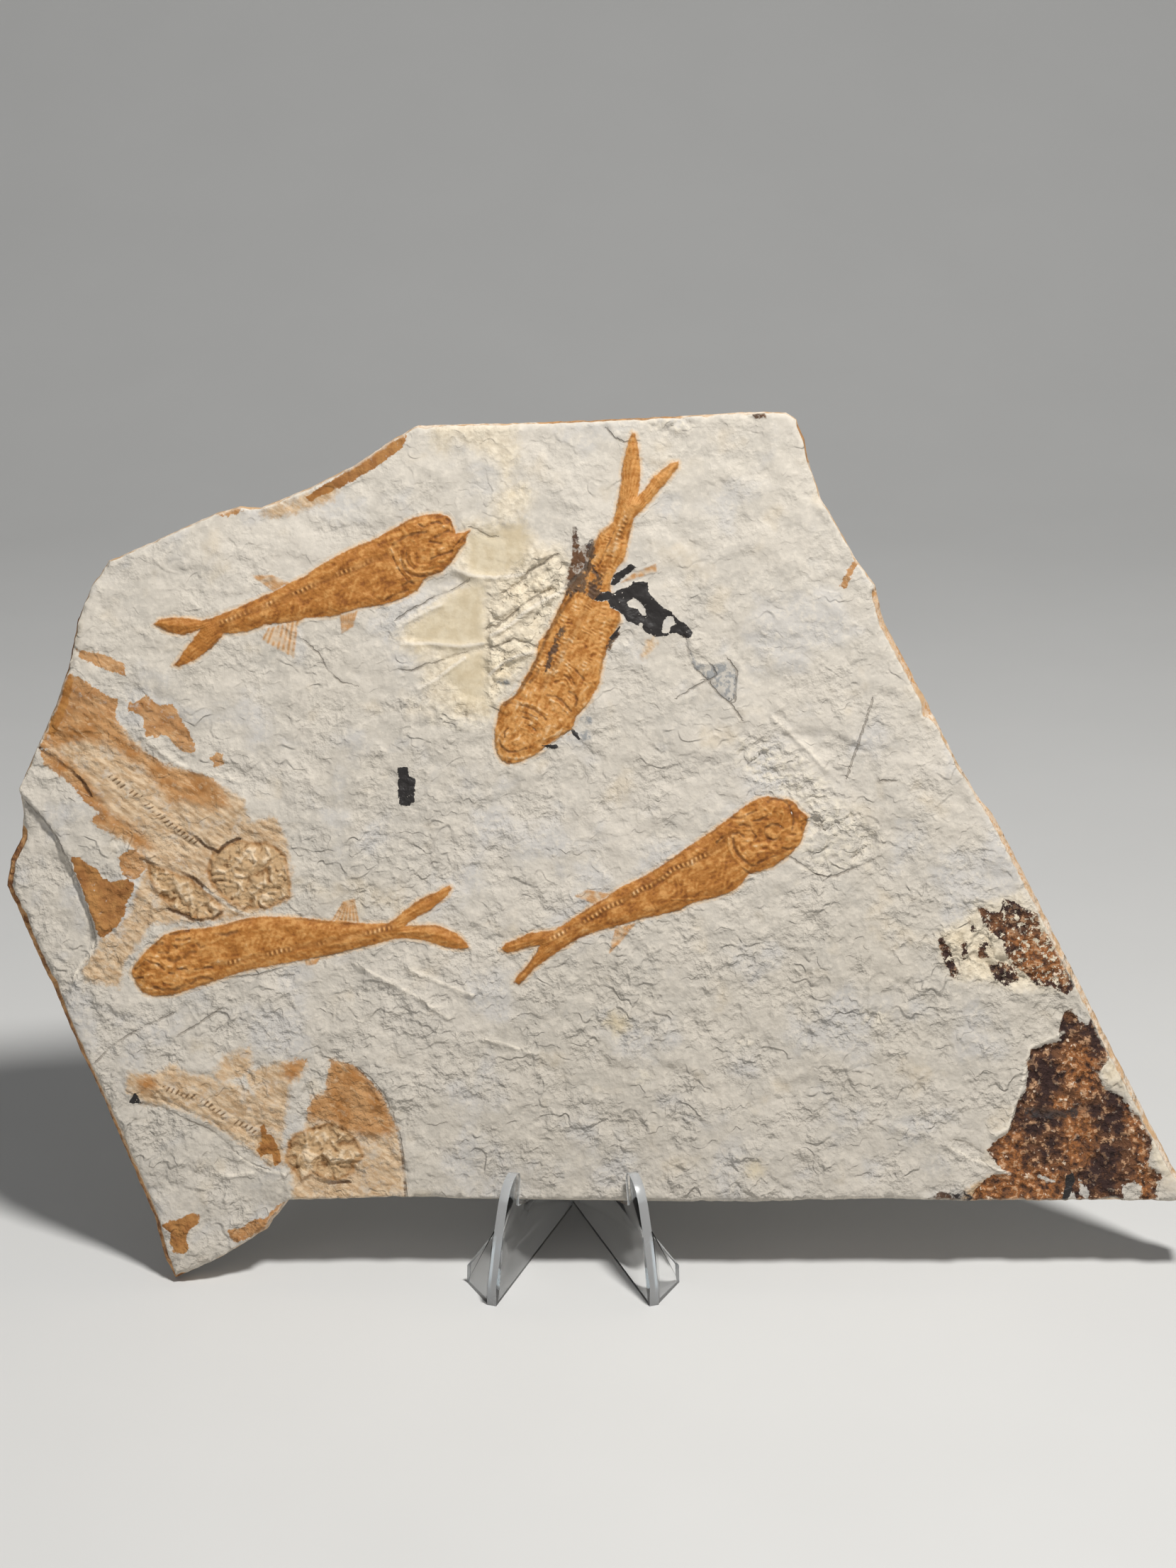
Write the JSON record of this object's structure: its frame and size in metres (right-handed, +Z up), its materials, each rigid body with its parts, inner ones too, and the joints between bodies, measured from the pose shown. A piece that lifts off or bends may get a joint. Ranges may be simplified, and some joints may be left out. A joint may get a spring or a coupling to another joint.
{
  "type": "fossil fish slab",
  "caption": "Thin split limestone slab with fossil fish in low relief on its face, leaning back in a clear plastic easel of interlocking upright plates.",
  "frame": {"origin": "on the table, under the middle of the bounding box", "axes": "+Z up, the slab's face looks towards -Y, +X to the right as seen from the front"},
  "size_m": [0.2448, 0.0794, 0.1715],
  "materials": {
    "stone": "dry, rough, split",
    "clear_plastic": "clear, glossy"
  },
  "bodies": {
    "root": {"slab": "stone", "stand_left": "clear_plastic", "stand_right": "clear_plastic"}
  },
  "joints": []
}
